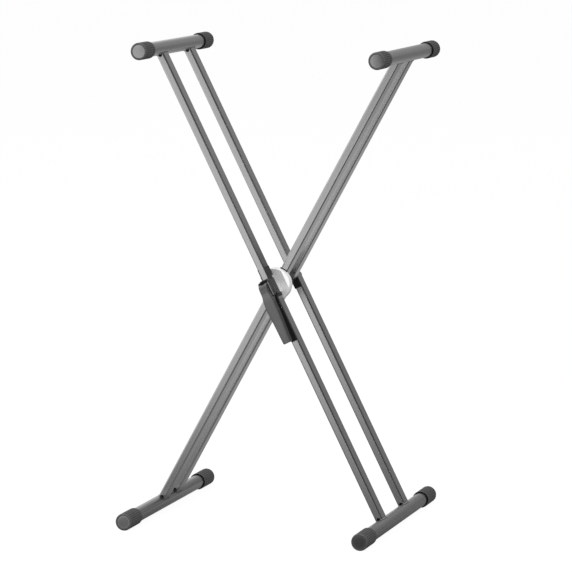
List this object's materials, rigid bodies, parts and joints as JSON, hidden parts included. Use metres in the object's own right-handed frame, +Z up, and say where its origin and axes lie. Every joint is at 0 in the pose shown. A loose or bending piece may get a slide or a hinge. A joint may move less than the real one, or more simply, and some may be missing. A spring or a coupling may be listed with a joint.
{
  "type": "double x keyboard stand",
  "caption": "Folding X-shaped stand with paired rectangular legs, round padded top arms and foot bars, and a cam lever that locks a disc clutch at the crossing.",
  "frame": {"origin": "on the floor, at the centre of the stand's footprint, below the pivot", "axes": "+Z up, +Y from the lever side to the back along the pivot and the bars, +X to the right seen from the lever side"},
  "size_m": [0.5124, 0.5, 0.9471],
  "materials": {
    "graphite_paint": "satin graphite metallic coat",
    "grey_rubber": "matt moulded rubber",
    "bright_zinc": "bright satin die casting",
    "plain_steel": "zinc-plated steel",
    "black_plastic": "fine-grained moulded plastic"
  },
  "bodies": {
    "outer_frame": {"outer_leg_front": "graphite_paint", "outer_leg_rear": "graphite_paint", "outer_top_arm": "graphite_paint", "outer_foot_bar": "graphite_paint", "outer_top_cap_front": "grey_rubber", "outer_top_cap_rear": "grey_rubber", "outer_foot_cap_front": "grey_rubber", "outer_foot_cap_rear": "grey_rubber", "outer_bush_front": "plain_steel", "outer_bush_rear": "plain_steel", "clutch_front_housing": "bright_zinc", "clutch_outer_disc_1": "plain_steel", "clutch_outer_disc_3": "plain_steel", "clutch_outer_disc_5": "plain_steel", "rear_spacer": "black_plastic", "flat_washer": "plain_steel", "spring_washer": "plain_steel", "lever_bracket": "black_plastic"},
    "inner_frame": {"inner_leg_front": "graphite_paint", "inner_leg_rear": "graphite_paint", "inner_top_arm": "graphite_paint", "inner_foot_bar": "graphite_paint", "inner_top_cap_front": "grey_rubber", "inner_top_cap_rear": "grey_rubber", "inner_foot_cap_front": "grey_rubber", "inner_foot_cap_rear": "grey_rubber", "inner_bush_front": "plain_steel", "inner_bush_rear": "plain_steel", "clutch_rear_housing": "bright_zinc", "clutch_inner_disc_2": "plain_steel", "clutch_inner_disc_4": "plain_steel", "spacer_sleeve": "plain_steel"},
    "draw_bolt": {"draw_bolt": "plain_steel", "lock_nut": "plain_steel"},
    "lever": {"clamp_lever": "black_plastic", "cross_pin": "plain_steel"}
  },
  "joints": [
    {"name": "main_pivot", "type": "hinge", "parent": "outer_frame", "child": "inner_frame", "pos_m": [0, 0, 0.47464], "axis": [0, 1, 0], "range_deg": [-51, 53]},
    {"name": "bolt_slide", "type": "slide", "parent": "outer_frame", "child": "draw_bolt", "axis": [0, 1, 0], "range_m": [0, 0.0012]},
    {"name": "lever_open", "type": "hinge", "parent": "draw_bolt", "child": "lever", "pos_m": [0, -0.1217, 0.47464], "axis": [-0.8862, 0, -0.4633], "range_deg": [0, 95]}
  ],
  "couplings": [
    {"joint": "bolt_slide", "follows": "lever_open", "m_per_rad": 0.000723}
  ]
}
